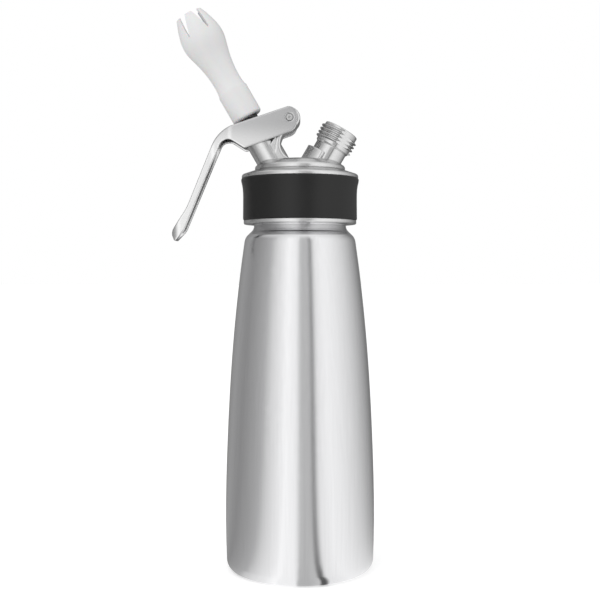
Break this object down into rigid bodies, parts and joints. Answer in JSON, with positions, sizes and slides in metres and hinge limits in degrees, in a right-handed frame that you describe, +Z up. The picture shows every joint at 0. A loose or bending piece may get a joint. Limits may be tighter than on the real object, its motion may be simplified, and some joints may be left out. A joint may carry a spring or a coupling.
{
  "type": "whipped cream dispenser",
  "caption": "Steel siphon bottle with a screw-on head, squeeze lever, sloping valve tube with a fluted tip and a sloping threaded charger inlet.",
  "frame": {"origin": "centre of the bottle's flat base", "axes": "+Z up along the bottle's axis; the lever and the outlet tube point towards -X, the charger inlet towards +X"},
  "size_m": [0.1358, 0.0998, 0.3773],
  "materials": {
    "bottle_steel": "satin, brushed along the bottle",
    "head_steel": "fine satin",
    "turned_steel": "bright turned",
    "lever_steel": "satin, brushed along the lever",
    "spring_steel": "drawn wire",
    "grip_rubber": "soft matte",
    "seal_rubber": "food-grade silicone, matte",
    "knob_plastic": "moulded, matte",
    "inner_plastic": "moulded, matte",
    "tip_plastic": "translucent white, smooth"
  },
  "bodies": {
    "bottle": {"bottle": "bottle_steel"},
    "gasket": {"head_gasket": "seal_rubber"},
    "head": {"threaded_collar": "head_steel", "grip_band": "grip_rubber", "valve_housing": "head_steel", "charger_inlet": "turned_steel", "piercing_pin": "turned_steel", "charger_seal": "seal_rubber", "check_valve": "seal_rubber", "stem_guide": "inner_plastic", "rod_seal": "seal_rubber", "return_spring": "spring_steel", "lever_pin": "turned_steel", "pivot_washers": "inner_plastic"},
    "lever": {"lever": "lever_steel"},
    "valve": {"valve_stem": "turned_steel", "valve_seal": "seal_rubber", "valve_washer": "turned_steel", "valve_nut": "turned_steel", "valve_knob": "knob_plastic"},
    "tip_ring": {"tip_seal": "seal_rubber"},
    "tip": {"decorator_tip": "tip_plastic"}
  },
  "joints": [
    {"name": "head_rise", "type": "slide", "parent": "bottle", "child": "gasket", "axis": [0, 0, 1], "range_m": [0, 0.01205]},
    {"name": "head_turn", "type": "hinge", "parent": "gasket", "child": "head", "pos_m": [0, 0, 0.25], "axis": [0, 0, 1], "range_deg": [0, 1080]},
    {"name": "lever_squeeze", "type": "hinge", "parent": "head", "child": "lever", "pos_m": [-0.00699, 0, 0.3024], "axis": [0, -1, 0], "range_deg": [0, 12], "stiffness_Nm_per_rad": 4, "springref_deg": -8.59},
    {"name": "valve_press", "type": "slide", "parent": "head", "child": "valve", "axis": [0.5, 0, -0.866], "range_m": [0, 0.0052], "deforming": ["return_spring"]},
    {"name": "tip_rise", "type": "slide", "parent": "valve", "child": "tip_ring", "axis": [-0.5, 0, 0.866], "range_m": [0, 0.00755]},
    {"name": "tip_turn", "type": "hinge", "parent": "tip_ring", "child": "tip", "pos_m": [-0.035, 0, 0.30332], "axis": [-0.5, 0, 0.866], "range_deg": [0, 1080]}
  ],
  "couplings": [
    {"joint": "head_rise", "follows": "head_turn", "m_per_rad": 0.00063662},
    {"joint": "valve_press", "follows": "lever_squeeze", "m_per_rad": 0.0244},
    {"joint": "tip_rise", "follows": "tip_turn", "m_per_rad": 0.00039789}
  ]
}
